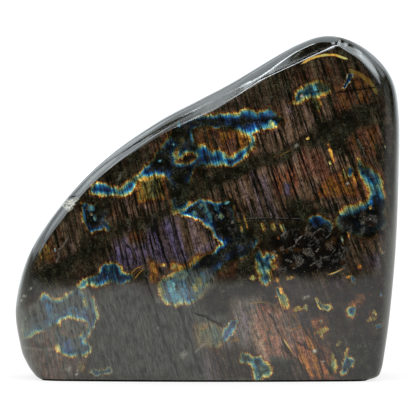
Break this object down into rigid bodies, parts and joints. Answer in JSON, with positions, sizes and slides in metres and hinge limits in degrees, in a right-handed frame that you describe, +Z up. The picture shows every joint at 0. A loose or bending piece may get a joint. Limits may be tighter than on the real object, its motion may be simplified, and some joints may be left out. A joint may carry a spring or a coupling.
{
  "type": "labradorite freeform",
  "caption": "Free-standing slab of polished labradorite with a flat ground base, a long sloping shoulder and flashes of blue, gold and violet in dark stone.",
  "frame": {"origin": "on the resting surface, under the middle of the stone's bounding box", "axes": "+X runs along the stone towards its tall end, +Y runs from the show face to the back, +Z is up"},
  "size_m": [0.1528, 0.048, 0.1363],
  "materials": {
    "polished_labradorite": "polished"
  },
  "bodies": {
    "root": {"labradorite_stone": "polished_labradorite"}
  },
  "joints": []
}
